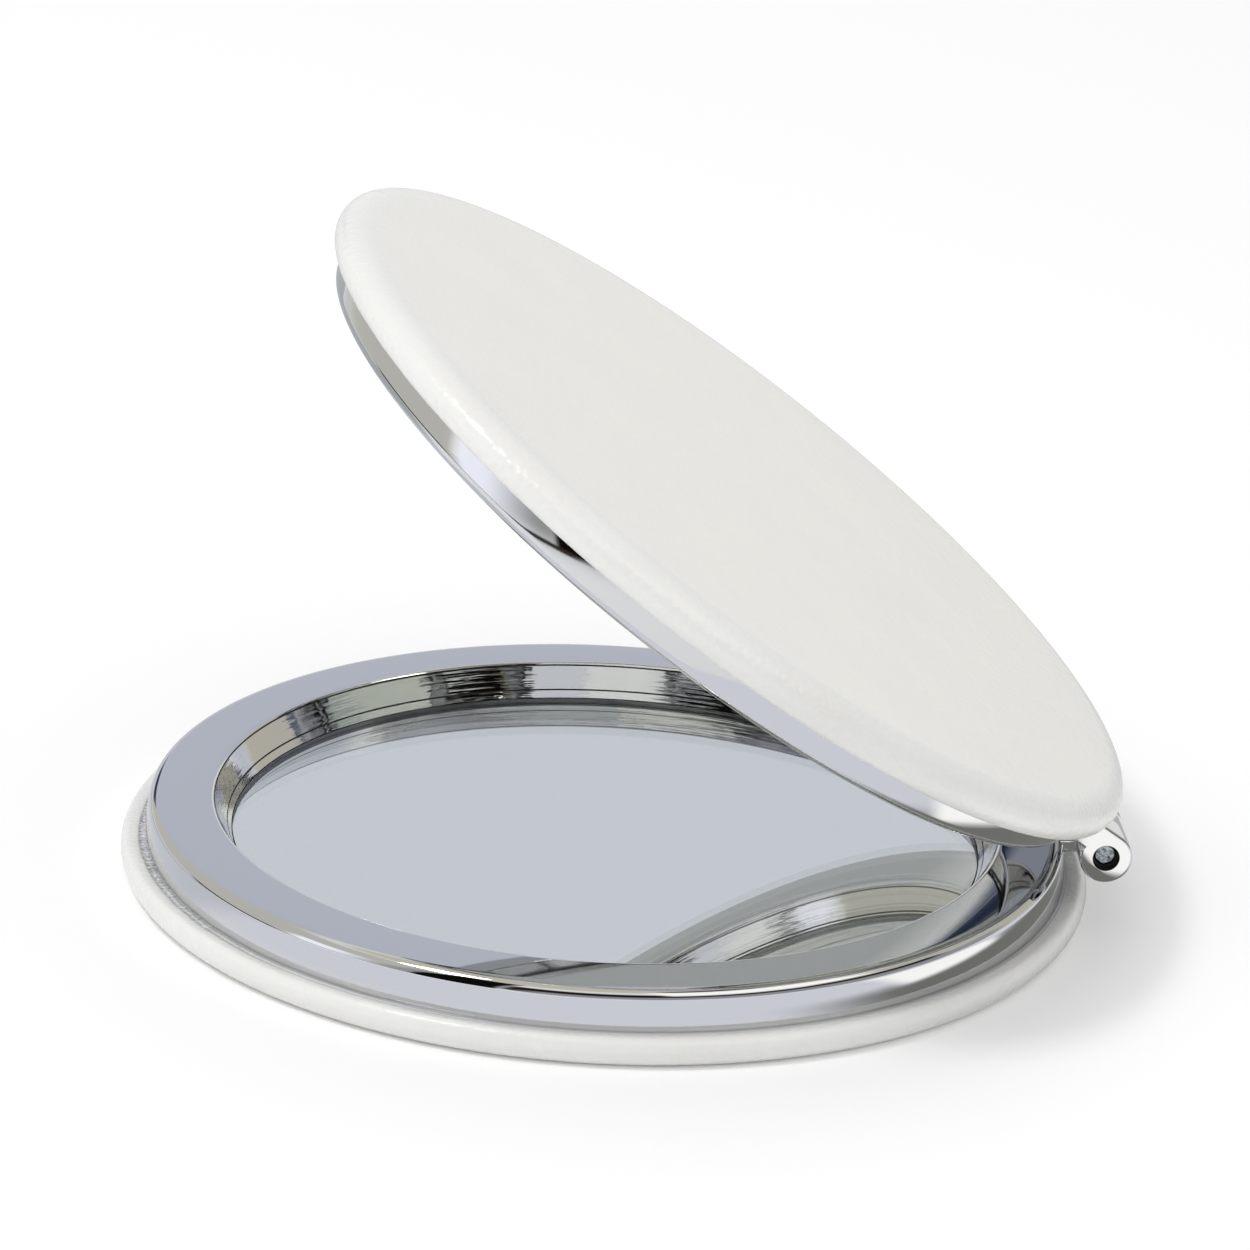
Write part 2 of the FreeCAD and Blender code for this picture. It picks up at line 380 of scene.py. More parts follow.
@dataclass(frozen=True)
class Leatherette:
    """White polyurethane leatherette, embossed with a fine pebble grain and left satin.

    The eye gets a warm white, a gloss broken into dots along the rolled edges and a pebble that
    shows only as a faint mottle on the face. The pebble is drawn a little coarse, so that it shows.
    The face is painted a little warmer than the rolled edge: a painted tint of the warm light the
    face catches and of the bluish reflection on the edge.
    """

    pad_radius_mm: float
    edge_shares: Point = (0.9, 0.97)
    # One leather colour; the face's warmer and the edge's cooler white are a painted tint of light and
    # reflection.
    face_colour: str = "#F0EEE7"
    edge_colour: str = "#EEEEED"
    shade_colour: str = "#E8E7E3"
    roughness: float = 0.27
    ior: float = 1.5
    pebble_mm: float = 0.5
    pebble_relief_mm: float = 0.038
    pebble_smoothness: float = 0.6
    face_relief: float = 0.55
    wrinkle_mm: float = 1.6
    wrinkle_relief_mm: float = 0.04
    tone_mm: float = 9.0

    def material(self) -> Material:
        """Make the leatherette's material.

        Returns:
            The new material.
        """
        material, add = new_material("polyurethane_leatherette")
        place, _, radius = drawn_radius(add)
        low, high = (share * self.pad_radius_mm for share in self.edge_shares)
        edge = add(
            "MapRange",
            {"Value": radius, "From Min": low, "From Max": high},
            interpolation_type="SMOOTHSTEP",
        )
        tone = add("TexNoise", {"Vector": place, "Scale": 1 / self.tone_mm, "Detail": 3.0})
        colour: Any = linear(self.face_colour)
        # The edge mix paints the edge's cooler tint of reflected light; the tone mix is the leather's
        # own random drift.
        for share, other in ((edge, self.edge_colour), (tone, self.shade_colour)):
            sockets = {"Factor": share, "A": colour, "B": linear(other)}
            colour = add("Mix", sockets, "Result", data_type="RGBA")
        relief = add("MapRange", {"Value": edge, "To Min": self.face_relief, "To Max": 1.0})
        wrinkles = add("TexNoise", {"Vector": place, "Scale": 1 / self.wrinkle_mm, "Detail": 2.0})
        slack = add(
            "Bump",
            {"Strength": relief, "Height": wrinkles, "Distance": self.wrinkle_relief_mm * MM},
        )
        pebbles = add(
            "TexVoronoi",
            {"Vector": place, "Scale": 1 / self.pebble_mm, "Smoothness": self.pebble_smoothness},
            feature="SMOOTH_F1",
        )
        depth = self.pebble_relief_mm * MM
        grain = add(
            "Bump",
            {"Strength": relief, "Height": pebbles, "Distance": depth, "Normal": slack},
            invert=True,
        )
        surface = add(
            "BsdfPrincipled",
            {"Base Color": colour, "Roughness": self.roughness, "IOR": self.ior, "Normal": grain},
        )
        add("OutputMaterial", {"Surface": surface})
        return material


@dataclass(frozen=True)
class ChromePlate:
    """Bright chrome plate on a die casting, whose bore was buffed less than the rest.

    The eye gets clean mirror images on the flat ring and the outer wall. On the inner wall, from
    the bore radius inwards, the images break into streaks along the ring where the casting's
    turning marks and ripples show through the plate.
    """

    bore_radius_mm: float
    colour: str = "#CDCED0"
    roughness: float = 0.03
    streak_length_mm: float = 9.0
    streak_width_mm: float = 0.3
    streak_relief_mm: float = 0.017
    ripple_mm: float = 1.6
    ripple_relief_mm: float = 0.018
    fade_mm: float = 0.2

    def material(self) -> Material:
        """Make the chrome's material.

        Returns:
            The new material.
        """
        material, add = new_material("bright_chrome_plate")
        place, level, radius = drawn_radius(add)
        outward = add("VectorMath", {0: level}, operation="NORMALIZE")
        rows = (0.0, 0.0, 1 / self.streak_width_mm)
        height = add("VectorMath", {0: place, 1: rows}, operation="MULTIPLY")
        turns = self.bore_radius_mm / self.streak_length_mm
        sockets: dict[Any, Any] = {0: outward, 1: (turns, turns, 0.0), 2: height}
        along = add("VectorMath", sockets, operation="MULTIPLY_ADD")
        start, end = self.bore_radius_mm, self.bore_radius_mm - self.fade_mm
        inside = add("MapRange", {"Value": radius, "From Min": start, "From Max": end})
        relief: dict[str, Any] = {"Strength": inside}
        for vector, scale, detail, depth in (
            (along, 1.0, 3.0, self.streak_relief_mm),
            (place, 1 / self.ripple_mm, 1.0, self.ripple_relief_mm),
        ):
            relief["Height"] = add("TexNoise", {"Vector": vector, "Scale": scale, "Detail": detail})
            relief["Distance"] = depth * MM
            relief["Normal"] = add("Bump", relief)
        surface = add(
            "BsdfPrincipled",
            {
                "Base Color": linear(self.colour),
                "Metallic": 1.0,
                "Roughness": self.roughness,
                "Normal": relief["Normal"],
            },
        )
        add("OutputMaterial", {"Surface": surface})
        return material


@dataclass(frozen=True)
class FloatGlass:
    """Clear float glass, polished as it leaves the bath, with a ground edge and a silvered back.

    The eye gets a bright image with a faint second one from the front, set a little below the
    glass, and a dark line where the ground edge shows through.
    """

    ior: float = 1.52
    tint: str = "#F9FAFD"
    edge_colour: str = "#4A5250"
    edge_roughness: float = 0.6
    silver_colour: str = "#F2F3EB"
    polish: float = 0.0

    def materials(self) -> list[Material]:
        """Make the glass's materials.

        Returns:
            The silvered back's, the ground edge's and the clear front's.
        """
        made = []
        for name, colour, roughness, sockets in (
            ("mirror_silver", self.silver_colour, self.polish, {"Metallic": 1.0}),
            ("ground_glass_edge", self.edge_colour, self.edge_roughness, {}),
            ("clear_float_glass", self.tint, self.polish, {"IOR": self.ior, "Transmission Weight": 1.0}),
        ):
            material, add = new_material(name)
            sockets = {"Base Color": linear(colour), "Roughness": roughness, **sockets}
            add("OutputMaterial", {"Surface": add("BsdfPrincipled", sockets)})
            made.append(material)
        return made


@dataclass(frozen=True)
class MottledFinish:
    """A finish whose colour and roughness drift between two values over a real distance."""

    name: str
    colours: tuple[str, str]
    roughness: Point
    mottle_mm: float
    metallic: float = 0.0
    relief_mm: float = 0.0
    contrast: float = 1.0

    def material(self) -> Material:
        """Make the finish's material.

        Returns:
            The new material.
        """
        material, add = new_material(self.name)
        place = add("TexCoord", output="Object")
        mottle = add("TexNoise", {"Vector": place, "Scale": 1 / (self.mottle_mm * MM), "Detail": 4.0})
        low, high = noise_span(self.contrast)
        tone = add("MapRange", {"Value": mottle, "From Min": low, "From Max": high})
        first, second = (linear(colour) for colour in self.colours)
        colour = add("Mix", {"Factor": tone, "A": first, "B": second}, "Result", data_type="RGBA")
        smooth, rough = self.roughness
        sheen = add("MapRange", {"Value": mottle, "To Min": smooth, "To Max": rough})
        relief = add("Bump", {"Height": mottle, "Distance": self.relief_mm * MM})
        surface = add(
            "BsdfPrincipled",
            {"Base Color": colour, "Metallic": self.metallic, "Roughness": sheen, "Normal": relief},
        )
        add("OutputMaterial", {"Surface": surface})
        return material


@dataclass(frozen=True)
class SeamGlue:
    """Contact glue, wiped clean along most of the seam, with a bumpy bead at the half's free end.

    The eye gets a pale crease. At the free end the colour is painted: painted shade in the gaps beside
    the chrome, broken by white specks of painted glint.
    """

    clean_colour: str = "#E9E9EA"
    gap_colour: str = "#8E9196"
    speck_colour: str = "#FBFBFC"
    roughness: float = 0.2
    speck_mm: float = 0.3
    cluster_mm: float = 4.0
    cluster_span: Point = (0.45, 0.6)
    contrast: float = 2.5
    relief_mm: float = 0.1
    free_end_mm: Point = (-24.0, -33.0)

    def material(self) -> Material:
        """Make the glue's material.

        Returns:
            The new material.
        """
        material, add = new_material("seam_glue")
        place = add("Attribute", output="Vector", attribute_name=DRAWN_PLACE)
        across = add("SeparateXYZ", {"Vector": place}, "X")
        start, end = self.free_end_mm
        squeezed = add("MapRange", {"Value": across, "From Min": start, "From Max": end})
        specks = add("TexNoise", {"Vector": place, "Scale": 1 / self.speck_mm, "Detail": 3.0})
        low, high = noise_span(self.contrast)
        tone = add("MapRange", {"Value": specks, "From Min": low, "From Max": high})
        # Painted shade and painted glints: towards the free end the colour turns to grey gaps speckled
        # with near-white.
        colour: Any = linear(self.speck_colour)
        for share, other in ((tone, self.gap_colour), (squeezed, self.clean_colour)):
            sockets = {"Factor": share, "A": linear(other), "B": colour}
            colour = add("Mix", sockets, "Result", data_type="RGBA")
        clusters = add("TexNoise", {"Vector": place, "Scale": 1 / self.cluster_mm, "Detail": 1.0})
        low, high = self.cluster_span
        gathered = add(
            "MapRange",
            {"Value": clusters, "From Min": low, "From Max": high, "To Max": squeezed},
        )
        relief = add(
            "Bump",
            {"Strength": gathered, "Height": specks, "Distance": self.relief_mm * MM},
        )
        surface = add(
            "BsdfPrincipled",
            {"Base Color": colour, "Roughness": self.roughness, "Normal": relief},
        )
        add("OutputMaterial", {"Surface": surface})
        return material


# Zinc-plated steel wire, cropped at its ends: a cool grey metal with spangled, torn end faces.
ZINC_WIRE = MottledFinish("zinc_plated_wire", ("#56636E", "#D3DCE2"), (0.2, 0.5), 0.35, 1.0, 0.1, 2.5)
# Near-black metal with a dull mottle: painted shade in the knuckles' bores and in the crease at the
# bevel's foot, and a painted dark reflection in the hairline along the lip.
BARE_ZINC = MottledFinish("bare_zinc", ("#0D0C0B", "#2B2825"), (0.5, 0.7), 0.3)
# Double-sided tape on its paper carrier: a dull cream that shows only at a glass's edge.
ADHESIVE_TAPE = MottledFinish("double_sided_tape", ("#D9D2BE", "#CFC7B0"), (0.6, 0.8), 2.0)
# Nickel plate on a sintered magnet: a warm bright metal with a fine orange peel.
MAGNET_NICKEL = MottledFinish("nickel_plated_magnet", ("#C9C3B8", "#BDB6AA"), (0.2, 0.3), 0.6, 1.0)


# Sub-assemblies


@dataclass
class Pad:
    """A half's cover: leatherette drawn over foam, rolled round the edge and turned in at the ring.

    Heights are measured from the pad's outer face. The swell is how far the rolled edge stands
    over the seam where the leatherette meets the ring's foot.
    """

    half: Half
    radius: float
    swell: float
    seam_height: float = 2.1
    shoulder_run: float = 1.3
    shoulder_drop: float = 1.3
    back_run: float = 0.7
    seam_radius: float = 33.58
    seam_shift: float = 0.14
    crown: float = 0.0
    seam_depth: float = 0.05
    recess_radius: float = 29.13
    recess_height: float = 1.05
    glue_width: float = 0.3
    pucker_count: int = 110
    pucker_height: float = 0.08
    fine_pucker_share: float = 0.5
    fine_pucker_ratio: float = 2.7
    calm_share: float = 0.2
    face_rings: int = 12
    shoulder_steps: int = 14
    back_steps: int = 12
    seam_steps: int = 8
    segments: int = 360

    def section(self) -> tuple[list[Point], list[int]]:
        """Draw the pad's section, from its face to its recess.

        The second and third arcs start a few degrees late, past the end of the one before.

        Returns:
            The section's points, and the material number of each span.
        """
        top = self.seam_height + self.swell
        floor = self.seam_height - self.seam_depth
        shoulder = self.radius - self.shoulder_run
        back = self.radius - self.back_run
        shares = [step / self.face_rings for step in range(self.face_rings)]
        points = [(shoulder * share, self.crown * (share**2 - 1)) for share in shares]
        centre = (shoulder, self.shoulder_drop)
        points += arc(centre, self.shoulder_run, self.shoulder_drop, -90, 0, self.shoulder_steps)
        centre = (back, self.shoulder_drop)
        points += arc(centre, self.back_run, top - self.shoulder_drop, 6, 90, self.back_steps)
        points += arc((back, floor), back - self.seam_radius, top - floor, 98, 180, self.seam_steps)
        kinds = [0] * (len(points) - 1)
        points += [(self.seam_radius - self.glue_width, floor), (self.recess_radius, floor)]
        points += [(self.recess_radius, self.recess_height), (0.0, self.recess_height)]
        kinds += [1] * (len(points) - 1 - len(kinds))
        return points, kinds

    def pucker(self, place: Vector) -> Vector:
        """Gather the turned-in edge, most at the free end, and set its seam a little off the middle.

        Args:
            place: A point of the plain pad.

        Returns:
            Where the point goes.
        """
        reach = math.hypot(place.x, place.y)
        near = 1 - abs(reach - self.seam_radius) / (self.radius - self.seam_radius)
        if near <= 0 or place.z < self.shoulder_drop:
            return place
        turn = math.atan2(place.y, place.x)
        round_edge = Vector((math.cos(turn), math.sin(turn), 0.0)) * self.pucker_count / (2 * math.pi)
        fine = noise.noise(round_edge * self.fine_pucker_ratio)
        gather = noise.noise(round_edge) + self.fine_pucker_share * fine
        free_end = max(0.0, -math.cos(turn)) ** 2
        share = self.calm_share + (1 - self.calm_share) * free_end
        lift = self.pucker_height * share * near * gather
        return Vector((place.x - self.seam_shift * near, place.y, place.z + lift))

    def build(self, places: Places, materials: list[Material]) -> Object:
        """Build the pad in place of the CAD's cover and foam.

        Args:
            places: Where the halves are.
            materials: The leatherette and the glue in its seam.

        Returns:
            The pad, riding its half.
        """
        body = self.half.value
        shape = Shape.turned(*self.section(), self.segments, self.pucker)
        pad = shape.make(f"{body}_pad", places.matrix(self.half), materials)
        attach(pad, body)
        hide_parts(f"{body}_cover", f"{body}_foam")
        return pad


@dataclass
class Knuckle:
    """One hinge knuckle: a bored barrel whose bracket runs into the ring's wall.

    It lies along Y between its start and end, and is drawn where its half lies on the table.
    """

    start: float
    end: float
    axis_place: float
    axis_height: float
    bracket_top: float
    root: float
    bore: float
    barrel_radius: float = 1.9
    edge_round: float = 0.2
    counterbore: float = 0.98
    counterbore_depth: float = 0.7
    barrel_steps: int = 48
    round_steps: int = 5

    def outline(self, inset: float) -> list[Point]:
        """Draw the knuckle's end outline.

        Args:
            inset: How far the outline is set in from the barrel and the bracket.

        Returns:
            The outline's points.
        """
        radius = self.barrel_radius - inset
        top = self.bracket_top - inset
        bottom = self.axis_height - radius
        rise = math.degrees(math.asin((top - self.axis_height) / radius))
        centre = (self.axis_place, self.axis_height)
        barrel = arc(centre, radius, radius, -90, 180 - rise, self.barrel_steps)
        return [(self.root, bottom), *barrel, (self.root, top)]

    def bore_ring(self, radius: float) -> list[Point]:
        """Return a circle about the hinge line."""
        centre = (self.axis_place, self.axis_height)
        return arc(centre, radius, radius, 0, 360, self.barrel_steps)[:-1]

    def loops(self) -> tuple[list[tuple[float, list[Point]]], list[tuple[float, list[Point]]]]:
        """List the loops of the outer skin and of the bore.

        A knuckle that lies to one side of the middle is an outer one, and is counterbored.

        Returns:
            The skin's loops and the bore's, each loop with its place along Y.
        """
        skin = []
        for step in range(self.round_steps + 1):
            turn = math.pi / 2 * step / self.round_steps
            inset = self.edge_round * (1 - math.sin(turn))
            skin.append((self.start + self.edge_round * (1 - math.cos(turn)), self.outline(inset)))
        for place, loop in reversed(list(skin)):
            skin.append((self.start + self.end - place, loop))
        bore = [(self.start, self.bore), (self.end, self.bore)]
        if self.end < 0:
            seat = self.start + self.counterbore_depth
            bore[:1] = [(self.start, self.counterbore), (seat, self.counterbore), (seat, self.bore)]
        if self.start > 0:
            seat = self.end - self.counterbore_depth
            bore[1:] = [(seat, self.bore), (seat, self.counterbore), (self.end, self.counterbore)]
        return skin, [(place, self.bore_ring(radius)) for place, radius in bore]

    def shape(self) -> Shape:
        """Draw the knuckle's skin and bore, and the faces that close its ends.

        Returns:
            The shape, with material 1 in the bore and 0 on the rest.
        """
        made = Shape([], [], [])
        ends: tuple[list[list[int]], list[list[int]]] = ([], [])
        for kind, group in enumerate(self.loops()):
            count = len(group[0][1])
            start = len(made.vertices)
            for place, loop in group:
                made.vertices += [Vector((across, place, height)) for across, height in loop]
            last = len(made.vertices) - count
            for low in range(start, last, count):
                made.faces += strip_between(low, low + count, count)
            made.kinds += [kind] * (len(made.faces) - len(made.kinds))
            for end, first in zip(ends, (start, last)):
                end.append(list(range(first, first + count)))
        for end in ends:
            numbers = end[0] + end[1]
            polylines = [[made.vertices[number] for number in ring] for ring in end]
            corners = tessellate_polygon(polylines)
            made.faces += [tuple(numbers[place] for place in corner) for corner in corners]
        made.kinds += [0] * (len(made.faces) - len(made.kinds))
        return made


@dataclass
class ChromeFrame:
    """A half's plated frame: a cup for the glass inside a hollow ring, with its hinge knuckles.

    Heights are measured from the half's outer face.
    """

    half: Half
    ledge_drop: float
    wall_radius: float = 33.3
    ring_top: float = 5.3
    ring_width: float = 4.8
    outer_round: float = 0.9
    lip_round: float = 0.4
    bevel_run: float = 1.15
    bevel_drop: float = 1.9
    ring_fall: float = 0.1
    crown_share: float = 0.3
    wall_bulge: float = 8.5
    hairline: float = 0.12
    wall: float = 1.1
    floor_bottom: float = 1.15
    floor_top: float = 1.75
    foot_height: float = 1.9
    hinge_length: float = 19.0
    middle_length: float = 8.0
    knuckle_gap: float = 0.2
    bracket_setback: float = 0.2
    pin_radius: float = 0.75
    pin_clearance: float = 0.05
    segments: int = 400
    wall_steps: int = 20
    round_steps: int = 18
    round_end: float = 88.0
    top_steps: int = 32
    lip_steps: int = 8
    guard: float = 0.03

    def lip(self) -> list[Point]:
        """Round the ring's inner edge from its flat top into the bevel.

        Returns:
            The points of the round.
        """
        slope = math.degrees(math.atan2(self.bevel_run, self.bevel_drop))
        reach = self.lip_round * math.tan(math.radians(90 - slope) / 2)
        centre = (self.wall_radius - self.ring_width + reach, self.ring_top - self.lip_round)
        return arc(centre, self.lip_round, self.lip_round, 90, 180 - slope, self.lip_steps)

    def outer_face(self) -> list[Point]:
        """Draw the bulging wall, its round and the ring's slightly crowned top.

        Returns:
            Their points, from the wall's foot inwards.
        """
        tilt = math.radians(self.wall_bulge)
        round_height = self.ring_top - self.ring_fall - self.outer_round
        bulge = (round_height + self.outer_round * math.sin(tilt) - self.foot_height) / math.sin(tilt)
        middle = self.wall_radius - bulge
        points = arc((middle, self.foot_height), bulge, bulge, 0, self.wall_bulge, self.wall_steps)
        centre = (middle + (bulge - self.outer_round) * math.cos(tilt), round_height)
        radius = self.outer_round
        points += arc(centre, radius, radius, self.wall_bulge, self.round_end, self.round_steps)[1:]
        outer = points[-1][0]
        inner = self.lip()[0][0]
        for step in range(1, self.top_steps):
            share = 1 - step / self.top_steps
            fall = self.crown_share * share + (1 - self.crown_share) * share * share
            points.append((inner + (outer - inner) * share, self.ring_top - self.ring_fall * fall))
        return points

    def section(self) -> tuple[list[Point], list[int]]:
        """Draw the frame's section, from its underside to its floor.

        A near-black hairline runs along each end of the bevel, a painted dark reflection along the lip
        and painted shade in the crease at its foot, and a small ledge under it laps the glass.

        Returns:
            The section's points, and the material number of each span.
        """
        lip_radius = self.wall_radius - self.ring_width
        bore = lip_radius - self.bevel_run
        bevel_foot = self.ring_top - self.bevel_drop
        channel_top = self.ring_top - self.wall
        channel = self.wall_radius - self.wall
        cup = bore + self.bevel_run * (self.bevel_drop - self.wall) / self.bevel_drop + self.wall
        slant = math.hypot(self.bevel_run, self.bevel_drop)
        hair = (self.hairline * self.bevel_run / slant, self.hairline * self.bevel_drop / slant)
        ledge_run = self.ledge_drop * self.bevel_run / self.bevel_drop
        ledge = (bore - ledge_run, bevel_foot - self.ledge_drop)
        points = [(0.0, self.floor_bottom), (cup, self.floor_bottom), (cup, channel_top)]
        points += [(channel, channel_top), (channel, self.foot_height)]
        points += self.outer_face()
        points += self.lip()
        top_hairline = len(points) - 1
        points.append((points[-1][0] - hair[0], points[-1][1] - hair[1]))
        foot_hairline = len(points)
        points += [(bore + hair[0], bevel_foot + hair[1]), (bore, bevel_foot), ledge, (bore, ledge[1])]
        points += [(bore, self.floor_top), (0.0, self.floor_top)]
        kinds = [0] * (len(points) - 1)
        # The hairlines take the near-black metal: a painted dark reflection along the lip and painted
        # shade at the bevel's foot.
        kinds[top_hairline] = 1
        kinds[foot_hairline] = 1
        return guarded(points, kinds, self.guard)

    def knuckles(self, places: Places) -> list[Knuckle]:
        """Lay out the half's knuckles.

        Args:
            places: Where the hinge is.

        Returns:
            The middle one for the base, or the outer two for the lid.
        """
        middle = self.middle_length / 2
        outer = self.hinge_length / 2
        inner = middle + self.knuckle_gap
        spans = [(-middle, middle)] if self.half is Half.BASE else [(-outer, -inner), (inner, outer)]
        bore = self.pin_radius if self.half is Half.BASE else self.pin_radius + self.pin_clearance
        root = math.sqrt((self.wall_radius - self.wall / 2) ** 2 - outer**2)
        return [
            Knuckle(
                start,
                end,
                places.hinge.x / MM,
                places.axis_height(self.half),
                self.ring_top - self.bracket_setback,
                root,
                bore,
            )
            for start, end in spans
        ]

    def build(self, places: Places, materials: list[Material]) -> Object:
        """Build the frame in place of the CAD's.

        Args:
            places: Where the halves are.
            materials: The chrome plate and the near-black metal of the painted shade and dark
                reflection.

        Returns:
            The frame, riding its half.
        """
        body = self.half.value
        shape = Shape.turned(*self.section(), self.segments)
        for knuckle in self.knuckles(places):
            shape.join(knuckle.shape())
        matrix = places.matrix(self.half)
        piece = shape.make(f"{body}_chrome_frame", matrix, materials, sharp_degrees=40.0)
        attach(piece, body)
        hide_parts(f"{body}_frame")
        return piece


@dataclass
class Mirror:
    """A half's glass: a clear front, a ground edge and a silvered back in one plate.

    The dish radius is that of the glass's bend, or none for a flat glass. The silver lift keeps
    the silvered back clear of the tape's face.
    """

    half: Half
    radius: float
    bottom: float
    thickness: float
    chamfer: float = 0.15
    dish_radius: Optional[float] = None
    silver_lift: float = 0.02
    rings: int = 16
    segments: int = 256

    def rise(self, radius: float) -> float:
        """Work out how far the bent glass rises.

        Args:
            radius: The distance from the glass's middle.

        Returns:
            The rise at that radius.
        """
        if self.dish_radius is None:
            return 0.0
        return self.dish_radius - math.sqrt(self.dish_radius**2 - radius**2)

    def section(self) -> tuple[list[Point], list[int]]:
        """Draw the glass's section.

        Returns:
            The section's points, and the material number of each span.
        """
        radii = [self.radius * step / self.rings for step in range(self.rings + 1)]
        front = [radius * (self.radius - self.chamfer) / self.radius for radius in radii]
        top = self.bottom + self.thickness
        back = self.bottom + self.silver_lift
        points = [(radius, back + self.rise(radius)) for radius in radii]
        points.append((self.radius, top - self.chamfer + self.rise(self.radius)))
        points += [(radius, top + self.rise(radius)) for radius in reversed(front)]
        kinds = [0] * self.rings + [1, 1] + [2] * self.rings
        return points, kinds

    def build(self, places: Places, materials: list[Material]) -> Object:
        """Build the glass in place of the CAD's.

        Args:
            places: Where the halves are.
            materials: The silver, the ground edge and the clear front.

        Returns:
            The glass, riding its half.
        """
        body = self.half.value
        shape = Shape.turned(*self.section(), self.segments)
        matrix = places.matrix(self.half)
        glass = shape.make(f"{body}_mirror_glass", matrix, materials, sharp_degrees=30.0)
        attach(glass, body)
        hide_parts(f"{body}_mirror")
        return glass


@dataclass
class HingePin:
    """The wire pin: smooth along its length, with cropped ends that are torn and a little skew."""

    length: float
    radius: float = 0.75
    crop_round: float = 0.12
    tear_depth: float = 0.05
    tear_width: float = 0.35
    end_rings: int = 8
    crop_steps: int = 4
    segments: int = 48

    def section(self) -> tuple[list[Point], list[int]]:
        """Draw the pin's section, from one end's middle to the other's.

        Returns:
            The section's points, and the material number of each span.
        """
        half = self.length / 2
        flat = self.radius - self.crop_round
        end = [(flat * step / self.end_rings, half) for step in range(self.end_rings)]
        centre = (flat, half - self.crop_round)
        end += arc(centre, self.crop_round, self.crop_round, 90, 0, self.crop_steps)
        points = [(radius, -height) for radius, height in end] + end[::-1]
        return points, [0] * (len(points) - 1)

    def tear(self, place: Vector) -> Vector:
        """Roughen the cropped ends and leave the wire's length smooth.

        Args:
            place: A point of the plain pin.

        Returns:
            Where the point goes.
        """
        near = max(0.0, 1 - (self.length / 2 - abs(place.z)) / self.crop_round)
        depth = self.tear_depth * noise.noise(place / self.tear_width)
        return Vector((place.x, place.y, place.z - near * abs(depth) * math.copysign(1.0, place.z)))

    def build(self, places: Places, material: Material) -> Object:
        """Build the pin in place of the CAD's.

        Args:
            places: Where the hinge is.
            material: The zinc-plated wire.

        Returns:
            The pin, riding the base.
        """
        shape = Shape.turned(*self.section(), self.segments, self.tear)
        lay_down = Matrix.Translation(places.hinge) @ Matrix.Rotation(math.pi / 2, 4, "X")
        pin = shape.make("hinge_wire_pin", lay_down, [material], sharp_degrees=50.0)
        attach(pin, Half.BASE.value)
        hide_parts("hinge_pin")
        return pin


@dataclass
class CarriedNodes:
    """CAD nodes that keep their own shape and take a finish here."""

    names: tuple[str, ...]
    finish: MottledFinish

    def dress(self) -> None:
        """Put the finish on each node."""
        material = self.finish.material()
        for name in self.names:
            materials = frame["nodes"][name].data.materials
            materials.clear()
            materials.append(material)


# Studio


def direction(azimuth: float, elevation: float) -> Vector:
    """Return a direction from the object. Azimuth 0 is the camera's side and 90 the hinge's.

    Args:
        azimuth: Degrees round the object.
        elevation: Degrees over the floor.

    Returns:
        The direction, of length 1.
    """
    turn = math.radians(azimuth)
    rise = math.radians(elevation)
    level = math.cos(rise)
    return Vector((math.sin(turn) * level, -math.cos(turn) * level, math.sin(rise)))


@dataclass(frozen=True)
class Card:
    """A curved reflector card with soft edges, seen only in reflections and through glass.

    It spreads over azimuths and elevations, and these and its soft edges are in degrees.
    """

    name: str
    azimuths: Point
    spread: Point
    colour: str
    soft: Point = (4.0, 4.0)
    strength: float = 1.0
    distance_mm: float = 700.0
    steps: int = 32

    def cover(self, column: int, row: int) -> float:
        """Return how much the card covers at a point of its grid.

        Args:
            column: The point's number across the azimuths.
            row: The point's number across the spread.

        Returns:
            From 0 at the card's edge to 1.
        """
        share = 1.0
        for place, (low, high), soft in (
            (column, self.azimuths, self.soft[0]),
            (row, self.spread, self.soft[1]),
        ):
            inside = min(place, self.steps - place) / self.steps * (high - low)
            part = min(1.0, inside / soft) if soft > 0 else 1.0
            share *= part * part * (3 - 2 * part)
        return share

    def place(self, azimuth: float, elevation: float) -> Vector:
        """Return a point of the card, on a dome round the object."""
        return direction(azimuth, elevation) * self.distance_mm * MM

    def build(self) -> Object:
        """Build the card as a grid of points with its cover at each.

        Returns:
            The card.
        """
        count = self.steps + 1
        grid = [(column, row) for row in range(count) for column in range(count)]
        vertices = []
        for point in grid:
            azimuth, reach = (
                low + (high - low) * step / self.steps
                for step, (low, high) in zip(point, (self.azimuths, self.spread))
            )
            vertices.append(self.place(azimuth, reach))
        corners = [row * count + column for column, row in grid if max(column, row) < self.steps]
        faces = [(corner, corner + 1, corner + count + 1, corner + count) for corner in corners]
        mesh = bpy.data.meshes.new(self.name)
        mesh.from_pydata(vertices, [], faces)
        covers = [self.cover(column, row) for column, row in grid]
        mesh.attributes.new(CARD_COVER, "FLOAT", "POINT").data.foreach_set("value", covers)
        material, add = new_material(self.name)
        glow = add("Emission", {"Color": linear(self.colour), "Strength": self.strength})
        share = add("Attribute", output="Fac", attribute_name=CARD_COVER)
        surface = add("MixShader", {0: share, 1: add("BsdfTransparent"), 2: glow})
        add("OutputMaterial", {"Surface": surface})
        mesh.materials.append(material)
        card = add_object(self.name, mesh)
        card.visible_camera = False
        card.visible_diffuse = False
        card.visible_shadow = False
        return card


@dataclass(frozen=True)
class FloorCard(Card):
    """A reflector card that lies on the floor, and spreads over distances in millimetres."""

    lift_mm: float = 0.4

    def place(self, azimuth: float, reach: float) -> Vector:
        """Return a point of the card, just over the floor."""
        return (direction(azimuth, 0.0) * reach + Vector((0.0, 0.0, self.lift_mm))) * MM


